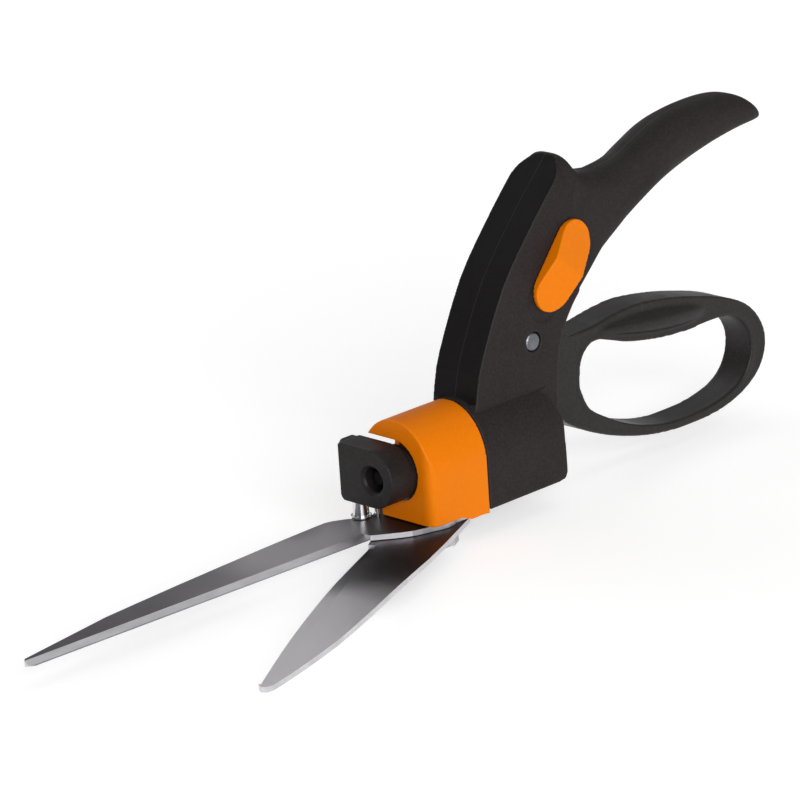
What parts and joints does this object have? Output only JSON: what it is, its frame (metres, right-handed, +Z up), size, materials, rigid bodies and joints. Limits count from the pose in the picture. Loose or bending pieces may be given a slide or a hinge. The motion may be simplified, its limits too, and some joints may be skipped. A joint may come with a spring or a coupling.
{
  "type": "grass shears",
  "caption": "One-handed grass shears: upright black handle with finger loop and palm rest, orange turning head, two long flat steel blades.",
  "frame": {"origin": "middle of the flat foot under the handle's block, on the tool's centre plane", "axes": "+X forward towards the blade tips, +Z up, +Y to the tool's left; the blades lie in a plane just under Z = 0"},
  "size_m": [0.3736, 0.0982, 0.1315],
  "materials": {
    "shell_plastic": "fine matte grain, black",
    "lever_plastic": "fine matte grain, black, edges a little polished",
    "yoke_plastic": "satin black",
    "spindle_plastic": "plain black moulding",
    "orange_plastic": "satin orange",
    "blade_steel": "ground and brushed, hardened",
    "rod_steel": "drawn bright bar",
    "screw_steel": "zinc plated",
    "spring_steel": "spring steel",
    "rivet_steel": "dull grey",
    "pin_chrome": "bright chrome",
    "bush_bronze": "sintered bronze"
  },
  "bodies": {
    "handle": {"handle_shell_left": "shell_plastic", "handle_shell_right": "shell_plastic", "shell_screw_1": "screw_steel", "shell_screw_2": "screw_steel", "shell_screw_3": "screw_steel", "shell_screw_4": "screw_steel", "shell_screw_5": "screw_steel", "shell_screw_6": "screw_steel", "lever_pivot_pin": "rivet_steel", "lever_return_spring": "spring_steel", "head_spindle": "spindle_plastic", "rod_bush": "bush_bronze", "head_retaining_ring": "spring_steel", "head_friction_washer": "spring_steel"},
    "lever": {"finger_lever": "lever_plastic"},
    "drive_rod": {"drive_rod": "rod_steel", "rod_cross_pin": "rod_steel"},
    "head": {"head_housing": "orange_plastic", "head_chassis": "spindle_plastic", "upper_blade": "blade_steel", "blade_screw_1": "screw_steel", "blade_screw_2": "screw_steel", "blade_screw_3": "screw_steel", "stop_pin": "pin_chrome", "blade_pivot_bolt": "screw_steel", "pivot_spring_washer": "spring_steel", "pivot_nut": "screw_steel"},
    "yoke": {"drive_yoke": "yoke_plastic", "yoke_washer": "screw_steel", "yoke_screw": "screw_steel"},
    "lower_blade": {"lower_blade": "blade_steel", "drive_pin": "pin_chrome", "drive_pin_washer": "pin_chrome"},
    "lock": {"lock_button": "orange_plastic", "lock_plate": "spindle_plastic", "lock_screw": "screw_steel"}
  },
  "joints": [
    {"name": "lever_squeeze", "type": "hinge", "parent": "handle", "child": "lever", "pos_m": [-0.0145, 0, 0.0543], "axis": [0, 1, 0], "range_deg": [0, 22.1], "stiffness_Nm_per_rad": 1.2, "springref_deg": -20.05},
    {"name": "rod_slide", "type": "slide", "parent": "handle", "child": "drive_rod", "axis": [1, 0, 0], "range_m": [-0.01425, 0]},
    {"name": "head_turn", "type": "hinge", "parent": "handle", "child": "head", "pos_m": [0.02, 0, 0.0196], "axis": [1, 0, 0], "continuous": true},
    {"name": "yoke_slide", "type": "slide", "parent": "head", "child": "yoke", "axis": [1, 0, 0], "range_m": [-0.01425, 0]},
    {"name": "blade_swing", "type": "hinge", "parent": "head", "child": "lower_blade", "pos_m": [0.0385, 0.0118, -0.0015], "axis": [0, 0, 1], "range_deg": [-28.05, 0]},
    {"name": "lock_slide", "type": "slide", "parent": "handle", "child": "lock", "axis": [0.6426, 0, -0.7662], "range_m": [0, 0.0045]}
  ],
  "couplings": [
    {"joint": "rod_slide", "follows": "lever_squeeze", "m_per_rad": -0.036814},
    {"joint": "yoke_slide", "follows": "lever_squeeze", "m_per_rad": -0.036814},
    {"joint": "blade_swing", "follows": "lever_squeeze", "ratio": -1.267}
  ]
}
